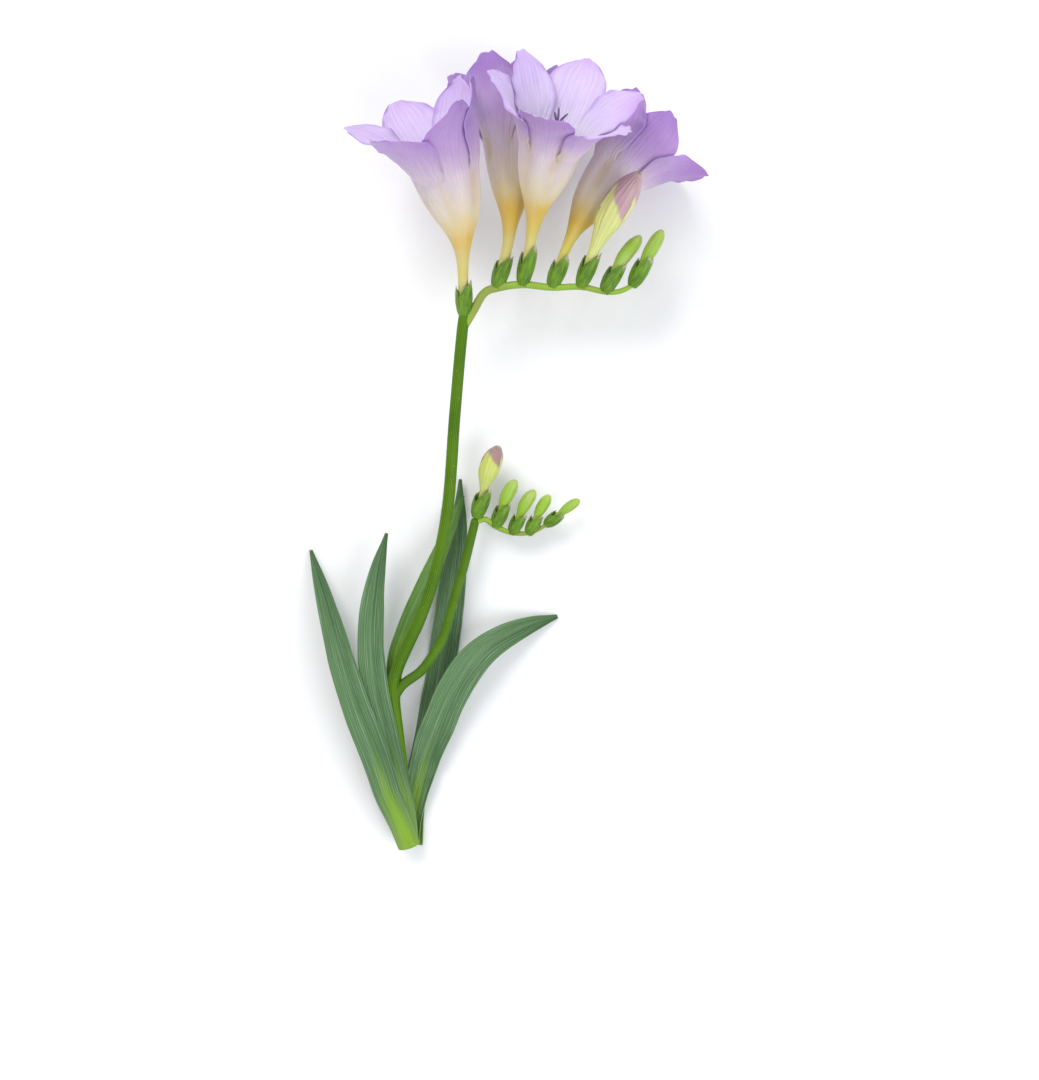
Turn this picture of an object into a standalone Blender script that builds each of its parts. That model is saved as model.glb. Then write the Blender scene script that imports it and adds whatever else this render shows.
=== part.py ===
"""One cut freesia stem lying on a flat surface: leafy stem with its flower spike and side branch.

Metres, +Z up. The stem runs along +Y, the spike bends to +X and its florets open towards +Y.
The origin is the flat spot under the leaf sheath, on which the cut end rests.
"""

from math import cos, pi, radians, sin, sqrt

import bmesh
import bpy
from mathutils import Vector

MM = 0.001

# Driving sizes
CUT_TO_REST = 8.0 * MM          # from the cut end to the flat spot under the sheath
STEM_RADIUS = 2.7 * MM
STEM_TIP_RADIUS = 2.3 * MM
RACHIS_RADIUS = 1.9 * MM
RACHIS_TIP_RADIUS = 1.0 * MM
BRANCH_RADIUS = 2.1 * MM
BRANCH_TIP_RADIUS = 1.8 * MM
SIDE_RACHIS_RADIUS = 1.3 * MM
SIDE_RACHIS_TIP_RADIUS = 0.8 * MM
LEAF_THICKNESS = 0.8 * MM
FLAT_WITHIN = 0.08 * MM         # a leaf's underside this near the surface lies flat on it
PETAL_THICKNESS = 0.65 * MM
BRACT_THICKNESS = 0.7 * MM
SEAT_GAP = 0.3 * MM             # between a floret and the ovary that carries it
STEM_SIDES = 10
UP = Vector((0, 0, 1))

# Floret sizes, measured along its own axis from the foot of the tube
TUBE_LENGTH = 47.0 * MM         # foot to the throat, where the six tepals part
TUBE_PROFILE = ((0, 1.6), (14, 1.9), (20, 2.8), (26, 5.0), (32, 7.6), (39, 9.6), (47, 11.0))
TEPAL_LENGTH = 32.0 * MM
TEPAL_ROWS = (0, 0.09, 0.26, 0.44, 0.62, 0.8, 0.93, 1)
TEPAL_HALF_WIDTHS = ((0, 5.5), (0.09, 5.4), (0.26, 8.6), (0.44, 10.8), (0.62, 11.8), (0.8, 10.8), (0.93, 8.0),
                     (1, 4.6))
WIDEST_SHARE = radians(53)      # half the turn that one tepal may take up round the axis
TEPAL_SHIFT = 0.85 * MM         # outer tepals stand this far out, inner ones this far in
THROAT_SLOPE = radians(14)
LEAST_REACH = 13.0 * MM
REACH_CLEARANCE = 1.6 * MM      # kept to the plane half way to the next floret, and to the surface
MOUTH_AT = 66.0 * MM
OPENING_AROUND = tuple(radians(a) for a in (-32, -20, -8, 8, 20, 32))
WAVE = 0.25 * MM
COLUMNS_PER_TEPAL = 4

# Where each floret grows: its foot on the rachis, and its headings in degrees, each as the lean to the
# right of +Y and the lift above the XY plane. An open floret also has its size and the width of its
# mouth as shares of the usual, its claim on the room between two mouths, the turn of its tepals, and
# how far a tepal may reach from the axis in millimetres before the size applies.
MAIN_FLORETS = (
    {"foot": (23.0, 215.2, 33.8), "bract": (-1, 10), "rise": (-1, 10), "face": (-16, 25), "size": 1.1,
     "mouth": 1.05, "claim": 1.0, "spin": 20, "reach": 31},
    {"foot": (36.0, 226.6, 33.0), "bract": (16, -4), "rise": (6, -6), "face": (-1, -7), "size": 1.12,
     "mouth": 0.84, "claim": 0.75, "spin": 30, "reach": 30},
    {"foot": (46.2, 227.6, 34.4), "bract": (12, 8), "rise": (9, 13), "face": (16, 35), "size": 1.08,
     "mouth": 1.02, "claim": 1.75, "spin": -9, "reach": 32},
    {"foot": (58.0, 226.8, 33.0), "bract": (20, -4), "rise": (24, -6), "face": (38, -9), "size": 1.0,
     "mouth": 1.0, "claim": 0.95, "spin": 12, "reach": 31},
    {"foot": (69.4, 226.9, 33.6), "bract": (21, 9), "rise": (25, 16), "face": (36, 23), "bud": (46, 6.1)},
    {"foot": (79.0, 225.0, 32.0), "bract": (28, -3), "rise": (32, -3), "face": (40, -4), "bud": (22.5, 2.9)},
    {"foot": (90.2, 227.6, 31.4), "bract": (27, 3), "rise": (30, 3), "face": (30, 4), "bud": (20.5, 2.8)},
)
SIDE_FLORETS = (
    {"foot": (27.6, 135.6, 12.6), "bract": (16, 3), "rise": (12, 2), "face": (24, 3), "bud": (26, 4.3)},
    {"foot": (35.4, 131.6, 11.8), "bract": (20, -3), "rise": (20, -3), "face": (32, -3), "bud": (16.5, 2.8)},
    {"foot": (42.2, 129.0, 11.4), "bract": (24, 4), "rise": (24, 4), "face": (38, 4), "bud": (15.5, 2.6)},
    {"foot": (49.0, 128.8, 10.6), "bract": (26, -3), "rise": (28, -3), "face": (34, -3), "bud": (13.5, 2.4)},
    {"foot": (56.4, 132.4, 10.0), "bract": (52, 3), "rise": (54, 3), "face": (56, 3), "bud": (12.5, 2.1)},
)
MAIN_BRACT_LENGTHS = (14.5, 14, 15.5, 13.5, 15, 13.5, 13.5)
SIDE_BRACT_LENGTHS = (12.5, 11, 9.5, 9, 8.5)
BRACT_STEPS = (0, 0.25, 0.5, 0.75, 1)
BRACT_WRAPS = ((0, 110), (0.25, 112), (0.5, 100), (0.75, 68), (1, 10))
BRACT_RADII = ((0, 1.7), (0.25, 3.15), (0.5, 3.55), (0.75, 3.55), (1, 3.35))
# Along a bud, its radius as a share of its widest
LARGE_BUD_OUTLINE = ((0, 0.3), (0.12, 0.32), (0.22, 0.36), (0.34, 0.52), (0.5, 0.88), (0.62, 1.0), (0.76, 0.98),
                     (0.88, 0.78), (0.96, 0.48), (1, 0.2))
SMALL_BUD_OUTLINE = ((0, 0.5), (0.12, 0.52), (0.22, 0.58), (0.34, 0.78), (0.48, 0.95), (0.62, 1.0), (0.78, 0.97),
                     (0.9, 0.78), (0.97, 0.5), (1, 0.22))
OVARY_LENGTH = 3.8 * MM
OVARY_RADIUS = 1.7 * MM

# Centre lines, in millimetres: across, along from the cut end, height
STEM_LINE = ((0, 0, 5.4), (-2, 18.4, 7.6), (-4.5, 42.9, 10.7), (-6.5, 63.3, 13.6), (-4.9, 72.7, 15.0),
             (-0.4, 83, 16.6), (5.3, 95.5, 18.4), (11, 112.8, 20.8), (16.2, 139.2, 24.4), (19.1, 174.7, 29.0),
             (22, 206, 32.8), (23.4, 216.4, 33.8))
RACHIS_LINE = ((22.8, 210.5, 33.0), (27.0, 217.3, 33.8), (31, 223.9, 33.6), (36, 226, 33.0), (46.2, 227.2, 34.2),
               (58, 226.2, 33.0), (69.4, 226.4, 33.4), (79, 224.6, 32.0), (85, 224.8, 31.6), (90.2, 227.2, 31.4))
BRANCH_LINE = ((-7, 60, 13.4), (-2.6, 66.6, 14.0), (4.5, 71.8, 13.4), (9, 77.6, 12.9), (13.1, 84.3, 12.6),
               (16, 92.9, 12.4), (18.8, 103.3, 12.4), (22.3, 114.7, 12.4), (25.2, 126.1, 12.4), (27.2, 134.6, 12.6))
SIDE_RACHIS_LINE = ((26.9, 133.2, 12.4), (31.4, 134.2, 12.2), (35.4, 131.2, 11.8), (42.2, 128.6, 11.4),
                    (49, 128.6, 10.6), (53.9, 130.6, 10.2), (56.4, 132.2, 10.0))

# Each leaf: which side of the stem its sheath clasps, its centre line, its half widths and the radius
# of its cross section along that line
LEAVES = {
    "leaf_left_front": {
        "side": 1, "steps": 13,
        "line": ((0, -1, 10.8), (-3.7, 10.2, 13.7), (-8.7, 22.4, 16.6), (-12.8, 36, 19.2), (-21.6, 59.6, 21.0),
                 (-26.8, 75.5, 19.2), (-34.2, 99.2, 11.2), (-41.6, 121.6, 0.9)),
        "half_widths": ((0, 5.2), (0.15, 5.7), (0.4, 6.1), (0.65, 5.4), (0.85, 3.4), (0.95, 1.7), (1, 0.5)),
        "curl": ((0, 5.2), (0.085, 7), (0.18, 12), (0.3, 20), (1, 22)),
    },
    "leaf_left_inner": {
        "side": 1, "steps": 12,
        "line": ((0.2, 0, 9.25), (-1.9, 17, 11.7), (-5.8, 32, 14.8), (-9.8, 49, 16.7), (-13.2, 63, 17.4),
                 (-15.2, 78, 17.5), (-15.2, 95, 17.0), (-13.0, 112, 15.6), (-9.2, 128.6, 12.8)),
        "half_widths": ((0, 4.3), (0.2, 4.8), (0.4, 5.1), (0.56, 5.7), (0.75, 5.2), (0.9, 3.0), (1, 0.5)),
        "curl": ((0, 3.75), (0.2, 4.3), (0.36, 8), (0.5, 20), (1, 20)),
    },
    "leaf_node": {
        "side": -1, "steps": 9,
        "line": ((-6.6, 66.6, 9.7), (-5.6, 77.6, 10.4), (-2, 88, 9.6), (2.9, 100, 8.6), (8.6, 112.2, 8.0),
                 (14.0, 124.5, 7.4), (18.2, 134.7, 6.8), (22.0, 144.0, 6.2)),
        "half_widths": ((0, 3.4), (0.3, 3.8), (0.6, 3.7), (0.85, 2.2), (1, 0.5)),
        "curl": ((0, 4.1), (0.15, 4.8), (0.4, 14), (1, 16)),
    },
    "leaf_right_arching": {
        "side": -1, "steps": 13,
        "line": ((0.2, 0, 1.65), (0.3, 9, 1.7), (1.5, 17, 2.5), (5.4, 32.7, 4.4), (10.6, 46.9, 6.4), (16.4, 60.6, 9.2),
                 (22.6, 71.5, 11.0), (29.5, 79.6, 11.0), (38.5, 85.8, 8.6), (49.5, 90.6, 4.4), (61, 94.0, 0.7)),
        "half_widths": ((0, 4.2), (0.2, 5.3), (0.33, 6.6), (0.45, 6.9), (0.65, 6.9), (0.85, 4.6), (0.95, 2.4),
                        (1, 0.5)),
        "curl": ((0, 3.75), (0.08, 4.7), (0.15, 9), (0.3, 16), (0.5, 26), (1, 26)),
    },
    "leaf_right_back": {
        "side": -1, "steps": 13, "flat_foot": True,
        "line": ((0.6, -1, 0.4), (0.9, 16, 0.4), (5.2, 34.7, 0.4), (8.8, 51, 0.4), (11.8, 67.3, 0.4),
                 (14.2, 83.7, 0.8), (16.4, 100, 1.4), (18.4, 116.3, 2.0), (20.0, 134, 2.6), (20.6, 151, 3.2)),
        "half_widths": ((0, 5.0), (0.15, 5.4), (0.4, 6.2), (0.7, 5.8), (0.88, 3.6), (1, 0.5)),
        "curl": ((0, 5.1), (0.1, 9.0), (0.22, 24), (0.45, 40), (1, 40)),
    },
}

COLOURS = {
    "stem_green": ((0.16, 0.30, 0.045, 1), 0.45),
    "leaf_green": ((0.075, 0.165, 0.05, 1), 0.5),
    "petal_lilac": ((0.62, 0.42, 0.80, 1), 0.55),
    "bud_green": ((0.42, 0.50, 0.13, 1), 0.45),
    "stamen_purple": ((0.24, 0.17, 0.40, 1), 0.6),
}


def clear_scene():
    for obj in list(bpy.data.objects):
        bpy.data.objects.remove(obj)


def material(name):
    found = bpy.data.materials.get(name)
    if found:
        return found
    colour, roughness = COLOURS[name]
    made = bpy.data.materials.new(name)
    made.use_nodes = True
    made.diffuse_color = colour
    shader = made.node_tree.nodes["Principled BSDF"]
    shader.inputs["Base Color"].default_value = colour
    shader.inputs["Roughness"].default_value = roughness
    shader.inputs["Metallic"].default_value = 0
    return made


def place(across, along, height):
    """A point given in millimetres from the cut end, in the frame of the rest spot."""
    return Vector((across, along, height)) * MM - Vector((0, CUT_TO_REST, 0))


def read(table, x):
    """The smooth value at x of a table of (x, value) pairs."""
    if x <= table[0][0]:
        return table[0][1]
    for (x0, y0), (x1, y1) in zip(table, table[1:]):
        if x <= x1:
            t = (x - x0) / (x1 - x0)
            return y0 + (y1 - y0) * t
    return table[-1][1]


def smooth(x):
    x = max(0.0, min(1.0, x))
    return x * x * (3 - 2 * x)


def direction(lean, lift):
    """Unit vector that leans right of +Y and lifts above the XY plane, in degrees."""
    a, b = radians(lean), radians(lift)
    return Vector((sin(a) * cos(b), cos(a) * cos(b), sin(b)))


def curve_through(points, count):
    """count + 1 evenly read points of a Catmull-Rom curve."""
    ends = [2 * points[0] - points[1], *points, 2 * points[-1] - points[-2]]
    found = []
    for i in range(count + 1):
        x = i / count * (len(points) - 1)
        k = min(int(x), len(points) - 2)
        t = x - k
        p0, p1, p2, p3 = ends[k:k + 4]
        found.append(0.5 * (2 * p1 + (p2 - p0) * t + (2 * p0 - 5 * p1 + 4 * p2 - p3) * t * t
                            + (3 * p1 - p0 - 3 * p2 + p3) * t * t * t))
    return found


class Spine:
    """A centre line with a frame: tangent, normal towards a reference, and side."""

    def __init__(self, points, reference):
        self.points = points
        self.lengths = [0.0]
        for a, b in zip(points, points[1:]):
            self.lengths.append(self.lengths[-1] + (b - a).length)
        self.reference = reference

    def at(self, distance):
        last = len(self.points) - 2
        k = 0
        while k < last and distance > self.lengths[k + 1]:
            k += 1
        step = self.points[k + 1] - self.points[k]
        t = (distance - self.lengths[k]) / step.length
        tangent = self.tangent(k).lerp(self.tangent(k + 1), max(0, min(1, t))).normalized()
        normal = (self.reference - tangent * self.reference.dot(tangent)).normalized()
        return self.points[k] + step * t, tangent, normal, tangent.cross(normal)

    def tangent(self, k):
        a = self.points[max(0, k - 1)]
        b = self.points[min(len(self.points) - 1, k + 1)]
        return (b - a).normalized()


def new_object(name, mesh, slot, collection):
    obj = bpy.data.objects.new(name, mesh)
    collection.objects.link(obj)
    mesh.materials.clear()
    mesh.materials.append(material(slot))
    return obj


def evaluated_mesh(obj):
    """The mesh of an object with its modifiers applied, welded."""
    graph = bpy.context.evaluated_depsgraph_get()
    mesh = bpy.data.meshes.new_from_object(obj.evaluated_get(graph))
    work = bmesh.new()
    work.from_mesh(mesh)
    bmesh.ops.remove_doubles(work, verts=work.verts, dist=1e-6)
    bmesh.ops.recalc_face_normals(work, faces=work.faces)
    work.to_mesh(mesh)
    work.free()
    return mesh


def tube(name, points, radii, sides, collection):
    """A round tube through the points, as a mesh object with closed ends."""
    curve = bpy.data.curves.new("line", "CURVE")
    curve.dimensions = "3D"
    curve.bevel_depth = 1.0
    curve.bevel_resolution = max(0, sides // 2 - 2)
    curve.use_fill_caps = True
    line = curve.splines.new("POLY")
    line.points.add(len(points) - 1)
    for dot, point, radius in zip(line.points, points, radii):
        dot.co = (*point, 1)
        dot.radius = radius
    obj = bpy.data.objects.new("line", curve)
    collection.objects.link(obj)
    bpy.context.view_layer.update()
    made = bpy.data.objects.new(name, evaluated_mesh(obj))
    collection.objects.link(made)
    bpy.data.objects.remove(obj)
    return made


def add_grid(work, columns, rows, position):
    """Adds a grid whose vertices go to position(u, v), with u from -1 to 1 and v from 0 to 1."""
    made = bmesh.ops.create_grid(work, x_segments=columns, y_segments=rows, size=1)
    for vertex in made["verts"]:
        vertex.co = position(vertex.co.x, (vertex.co.y + 1) / 2)


def shell(name, work, thickness, slot, collection):
    """Closes an open surface into a thin solid, split into the same triangles on both faces."""
    bmesh.ops.remove_doubles(work, verts=work.verts, dist=2e-6)
    bmesh.ops.recalc_face_normals(work, faces=work.faces)
    bmesh.ops.triangulate(work, faces=work.faces, quad_method="FIXED")
    mesh = bpy.data.meshes.new(name)
    work.to_mesh(mesh)
    work.free()
    obj = new_object(name, mesh, slot, collection)
    solidify = obj.modifiers.new("thickness", "SOLIDIFY")
    solidify.thickness = thickness
    solidify.offset = 0
    obj.data = evaluated_mesh(obj)
    obj.modifiers.clear()
    return obj


def drop_crumbs(mesh):
    """Keeps the largest of a mesh's separate shells: a Boolean can leave specks beside it."""
    work = bmesh.new()
    work.from_mesh(mesh)
    shells = []
    seen = set()
    for first in work.verts:
        if first in seen:
            continue
        shell_verts = [first]
        seen.add(first)
        for vertex in shell_verts:
            for edge in vertex.link_edges:
                other = edge.other_vert(vertex)
                if other not in seen:
                    seen.add(other)
                    shell_verts.append(other)
        shells.append(shell_verts)
    shells.sort(key=len)
    for crumb in shells[:-1]:
        bmesh.ops.delete(work, geom=crumb, context="VERTS")
    work.to_mesh(mesh)
    work.free()


def fuse(body, pieces):
    """Joins the pieces to the body in one solid and removes them."""
    group = bpy.data.collections.new("to_fuse")
    bpy.context.scene.collection.children.link(group)
    for piece in pieces:
        for owner in list(piece.users_collection):
            owner.objects.unlink(piece)
        group.objects.link(piece)
    union = body.modifiers.new("union", "BOOLEAN")
    union.operation = "UNION"
    union.operand_type = "COLLECTION"
    union.collection = group
    union.solver = "MANIFOLD"
    body.data = evaluated_mesh(body)
    body.modifiers.clear()
    drop_crumbs(body.data)
    for piece in pieces:
        bpy.data.objects.remove(piece)
    bpy.data.collections.remove(group)


def floret_spine(floret, size):
    """The floret's axis: it leaves its bracts along their line, then turns to rise, then to face."""
    line = direction(*floret["bract"])
    rise = direction(*floret["rise"])
    face = direction(*floret["face"])
    point = place(*floret["foot"]) + line * (OVARY_LENGTH + SEAT_GAP)
    step = 1.5 * MM
    points = [point]
    for i in range(64):
        gone = i * step / size
        heading = line.lerp(rise, smooth((gone - 5 * MM) / (9 * MM)))
        heading = heading.lerp(face, smooth((gone - 12 * MM) / (26 * MM)))
        point = point + heading.normalized() * step
        points.append(point)
    return Spine(points, UP)


def mouth_centre(floret):
    return floret_spine(floret, floret["size"]).at(MOUTH_AT * floret["size"])[0]


def reach_towards(heading, centre, axis, floret, others):
    """How far from the axis a tepal may reach along heading before the next floret or the surface."""
    reach = floret["reach"] * MM * floret["size"]
    for other in others:
        away = mouth_centre(other) - centre
        away -= axis * away.dot(axis)
        share = floret["claim"] / (floret["claim"] + other["claim"])
        along = heading.dot(away.normalized())
        if along > 0.1:
            reach = min(reach, (away.length * share - REACH_CLEARANCE) / along)
    if heading.z < -0.1:
        reach = min(reach, (centre.z - REACH_CLEARANCE / 2) / -heading.z)
    return max(reach, LEAST_REACH * floret["mouth"])


def opening_for(reach, throat, length):
    """The angle from the axis at a tepal's tip that gives it this reach."""
    low, high = radians(2), radians(96)
    for _ in range(24):
        middle = (low + high) / 2
        if throat + run_out(length, middle, 1)[0] < reach:
            low = middle
        else:
            high = middle
    return (low + high) / 2


def run_out(length, opening, v):
    """How far out and how far on a tepal has got at the share v of its length, as its slope grows evenly."""
    turn = (opening - THROAT_SLOPE) * v / 2
    reached = length * v * (sin(turn) / turn if abs(turn) > 1e-6 else 1)
    return reached * sin(THROAT_SLOPE + turn), reached * cos(THROAT_SLOPE + turn)


def bloom(name, floret, others, collection):
    """An open floret: a fused tube and six tepals in two layers, one thin solid."""
    size, mouth, spin = floret["size"], floret["mouth"], radians(floret["spin"])
    spine = floret_spine(floret, size)
    throat_at = TUBE_LENGTH * size
    throat, axis, normal, side = spine.at(throat_at)
    centre = spine.at(MOUTH_AT * size)[0]
    length = TEPAL_LENGTH * size
    openings = {}

    def tube_radius(distance):
        wide = smooth((distance / size - 14 * MM) / (26 * MM))
        return read(TUBE_PROFILE, distance / size / MM) * MM * size * (1 + (mouth - 1) * wide)

    def tube_point(u, v):
        distance = throat_at * v
        point, _, up, across = spine.at(distance)
        angle = pi * u + spin
        return point + (up * cos(angle) + across * sin(angle)) * tube_radius(distance)

    def opening(angle):
        """The opening towards an angle, evened out over its surroundings so that no tepal is creased."""
        key = round(angle, 4)
        if key not in openings:
            found = []
            for around in OPENING_AROUND:
                heading = normal * cos(angle + around) + side * sin(angle + around)
                reach = reach_towards(heading, centre, axis, floret, others)
                found.append(opening_for(reach, tube_radius(throat_at), length))
            openings[key] = sum(found) / len(found)
        return openings[key]

    def tepal_point(k, u, v):
        v = TEPAL_ROWS[round(v * (len(TEPAL_ROWS) - 1))]
        middle = pi / 3 * k + spin
        layer = 1 if k % 2 else -1
        ring = tube_radius(throat_at)
        out, _ = run_out(length, opening(middle), v)
        half = pi / 6 if v == 0 else min(WIDEST_SHARE, read(TEPAL_HALF_WIDTHS, v) * MM * size / (ring + out))
        if v == TEPAL_ROWS[1]:
            half = pi / 6 * 0.95
        angle = middle + u * half
        v_here = v * (1 - 0.06 * u * u * v)
        slope = opening(angle)
        out, on = run_out(length, slope, v_here)
        tilt = THROAT_SLOPE + (slope - THROAT_SLOPE) * v_here
        radial = normal * cos(angle) + side * sin(angle)
        outward = radial * cos(tilt) - axis * sin(tilt)
        shift = layer * TEPAL_SHIFT * smooth(v / 0.2)
        shift += WAVE * sin(5 * v + 2.2 * k) * u * u * smooth((v - 0.3) / 0.4)
        point = throat + radial * (ring + out) + axis * on + outward * shift
        # a lower tepal that reaches the surface flattens on it, the inner ones above the outer
        point.z = max(point.z, PETAL_THICKNESS / 2 + (1 - layer) * TEPAL_SHIFT)
        return point

    work = bmesh.new()
    add_grid(work, 6 * COLUMNS_PER_TEPAL, 7, tube_point)
    for k in range(6):
        add_grid(work, COLUMNS_PER_TEPAL, len(TEPAL_ROWS) - 1, lambda u, v, k=k: tepal_point(k, u, v))
    return shell(name, work, PETAL_THICKNESS, "petal_lilac", collection)


def stamens(name, floret, collection):
    """The style with its three forked branches, and three stamens that join it in the neck of the tube."""
    size = floret["size"]
    spine = floret_spine(floret, size)

    def line(stations):
        points = []
        for distance, out, angle in stations:
            point, _, up, across = spine.at(distance * MM * size)
            points.append(point + (up * cos(angle) + across * sin(angle)) * out * MM)
        return points

    style = tube("style", line([(0.3, 0, 0), (20, 0, 0), (38, 0, 0), (57, 0.2, 0)]), [0.0005] * 4, 6, collection)
    pieces = []
    for k in range(3):
        angle = 2 * pi / 3 * k + 0.3
        stations = [(23, 0.0, angle), (34, 1.2, angle), (46.5, 2.7, angle), (47.5, 2.8, angle), (52, 3.1, angle),
                    (56.5, 3.1, angle), (58, 2.9, angle)]
        radii = [r * MM for r in (0.3, 0.35, 0.35, 0.75, 0.85, 0.75, 0.4)]
        pieces.append(tube("anther", line(stations), radii, 6, collection))
        branch = [(56, 0.0, angle + 1), (59, 1.4, angle + 1), (62, 3.2, angle + 1)]
        pieces.append(tube("stigma", line(branch), [0.00045, 0.00045, 0.00055], 6, collection))
    fuse(style, pieces)
    style.name = name
    style.data.materials.append(material("stamen_purple"))
    return style


def bud(name, floret, collection):
    """A closed floret: a narrow foot that swells into a spindle."""
    length, widest = floret["bud"]
    spine = floret_spine(floret, length / 46)
    outline = LARGE_BUD_OUTLINE if length > 24 else SMALL_BUD_OUTLINE
    points = [spine.at(length * share * MM)[0] for share, _ in outline]
    radii = [widest * ratio * MM for _, ratio in outline]
    made = tube(name, points, radii, 10, collection)
    made.data.materials.append(material("bud_green"))
    return made


def bracts(floret, length, collection):
    """The ovary of a floret and the two green bracts that hold its foot."""
    foot = place(*floret["foot"])
    axis = direction(*floret["bract"])
    spine = Spine([foot + axis * (i - 2) * 2 * MM for i in range(13)], UP)
    start = 4 * MM
    ratio = 1.0 if length > 13 else 0.76 + 0.24 * (length - 8.5) / 4
    ovary = tube("ovary", [foot - axis * 1.2 * MM, foot + axis * 1.5 * MM, foot + axis * OVARY_LENGTH],
                 [1.2 * MM, OVARY_RADIUS * min(1, ratio + 0.2), OVARY_RADIUS * min(1, ratio + 0.2)], 6, collection)
    made = [ovary]
    for facing, share, wrap in ((0.35 * pi, 1.0, 1.0), (1.35 * pi, 0.84, 0.85)):
        def point(u, v, facing=facing, share=share, wrap=wrap):
            reached = start + (v * length * share - 1.0) * MM
            centre, _, up, across = spine.at(reached)
            angle = facing + radians(read(BRACT_WRAPS, v)) * wrap * u
            radius = read(BRACT_RADII, v) * MM * ratio
            return centre + (up * cos(angle) + across * sin(angle)) * radius

        work = bmesh.new()
        add_grid(work, 4, len(BRACT_STEPS) - 1, point)
        made.append(shell("bract", work, BRACT_THICKNESS, "stem_green", collection))
    return made


def tapered(line, count, first, last):
    """Points of a smooth line and radii that narrow evenly along it."""
    points = curve_through([place(*p) for p in line], count)
    return points, [first + (last - first) * i / count for i in range(count + 1)]


def leafless_stem(collection):
    """The main stem, its spike's rachis, the side branch and all bracts, grown as one."""
    points, radii = tapered(STEM_LINE, 22, STEM_RADIUS, STEM_TIP_RADIUS)
    stem = tube("stem", points, radii, STEM_SIDES, collection)
    pieces = []
    for name, line, count, first, last in (
        ("rachis", RACHIS_LINE, 15, RACHIS_RADIUS, RACHIS_TIP_RADIUS),
        ("branch", BRANCH_LINE, 13, BRANCH_RADIUS, BRANCH_TIP_RADIUS),
        ("side_rachis", SIDE_RACHIS_LINE, 10, SIDE_RACHIS_RADIUS, SIDE_RACHIS_TIP_RADIUS),
    ):
        points, radii = tapered(line, count, first, last)
        pieces.append(tube(name, points, radii, 8, collection))
    for florets, lengths in ((MAIN_FLORETS, MAIN_BRACT_LENGTHS), (SIDE_FLORETS, SIDE_BRACT_LENGTHS)):
        for floret, length in zip(florets, lengths):
            pieces += bracts(floret, length, collection)
    fuse(stem, pieces)
    stem.data.materials.clear()
    stem.data.materials.append(material("stem_green"))
    return stem


def leaf(name, form, collection):
    """A sword-shaped leaf: its foot clasps the stem as a channel, which opens into a nearly flat blade."""
    points = curve_through([place(*p) for p in form["line"]], 48)
    spine = Spine(points, UP * form["side"])
    whole = spine.lengths[-1]

    def point(u, v):
        middle, _, normal, side = spine.at(whole * v)
        curl = read(form["curl"], v) * MM
        angle = u * read(form["half_widths"], v) * MM / curl
        made = middle + normal * curl * (cos(angle) - 1) + side * curl * sin(angle)
        if form.get("flat_foot") and abs(u) < 0.6 and v < 0.2:
            made.z = LEAF_THICKNESS / 2
        made.z = max(made.z, LEAF_THICKNESS / 2)
        return made

    work = bmesh.new()
    add_grid(work, 4, form["steps"], point)
    made = shell(name, work, LEAF_THICKNESS, "leaf_green", collection)
    for vertex in made.data.vertices:
        if vertex.co.z < FLAT_WITHIN:
            vertex.co.z = 0
    return made


def main():
    clear_scene()
    collection = bpy.data.collections.new("freesia_stem")
    bpy.context.scene.collection.children.link(collection)
    leafless_stem(collection)
    for name, form in LEAVES.items():
        leaf(name, form, collection)
    blooms = [f for f in MAIN_FLORETS if "mouth" in f]
    for i, floret in enumerate(blooms, 1):
        others = [f for f in blooms if f is not floret]
        bloom(f"bloom_{i}", floret, others, collection)
        stamens(f"stamens_{i}", floret, collection)
    buds = [f for f in MAIN_FLORETS if "bud" in f]
    for i, floret in enumerate(buds, 1):
        bud(f"bud_{i}", floret, collection)
    for i, floret in enumerate(SIDE_FLORETS, 1):
        bud(f"side_bud_{i}", floret, collection)


main()
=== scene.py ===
import random
from math import cos, exp, pi, radians, sin

import bmesh
import bpy
from mathutils import Matrix, Vector, noise


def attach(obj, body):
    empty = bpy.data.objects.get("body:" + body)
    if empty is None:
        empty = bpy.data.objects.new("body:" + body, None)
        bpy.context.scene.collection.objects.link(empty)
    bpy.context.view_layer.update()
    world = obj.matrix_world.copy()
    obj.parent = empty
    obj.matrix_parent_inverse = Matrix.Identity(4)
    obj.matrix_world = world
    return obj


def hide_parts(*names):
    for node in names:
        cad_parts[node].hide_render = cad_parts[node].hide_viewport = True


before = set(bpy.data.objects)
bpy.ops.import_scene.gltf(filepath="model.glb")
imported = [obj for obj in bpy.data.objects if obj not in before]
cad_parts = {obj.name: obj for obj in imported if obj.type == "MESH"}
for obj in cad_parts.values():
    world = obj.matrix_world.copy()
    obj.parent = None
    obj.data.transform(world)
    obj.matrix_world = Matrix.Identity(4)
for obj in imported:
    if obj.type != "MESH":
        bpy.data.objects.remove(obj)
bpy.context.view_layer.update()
print("frame loaded:", len(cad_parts), "solids")

mm = 0.001
up = Vector((0, 0, 1))
cutToRest = 8.0      # mm from the cut end to the frame's origin
seatGap = 0.3        # mm between a floret and its ovary
ovaryLength = 3.8    # mm


# Small helpers

def place(across, along, height):
    # a point measured in mm from the cut end
    return Vector((across, along - cutToRest, height)) * mm


def smooth(x):
    x = max(0.0, min(1.0, x))
    return x * x * (3 - 2 * x)


def readTable(table, x):
    # straight-line reading of a list of (x, value) pairs
    if x <= table[0][0]:
        return table[0][1]
    for (x0, y0), (x1, y1) in zip(table, table[1:]):
        if x <= x1:
            return y0 + (y1 - y0) * (x - x0) / (x1 - x0)
    return table[-1][1]


def readSmooth(table, x):
    # the same table with its corners rounded off
    reach = (table[-1][0] - table[0][0]) * 0.035
    return sum(readTable(table, x + reach * k) for k in (-1, -0.5, 0, 0.5, 1)) / 5


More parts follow.
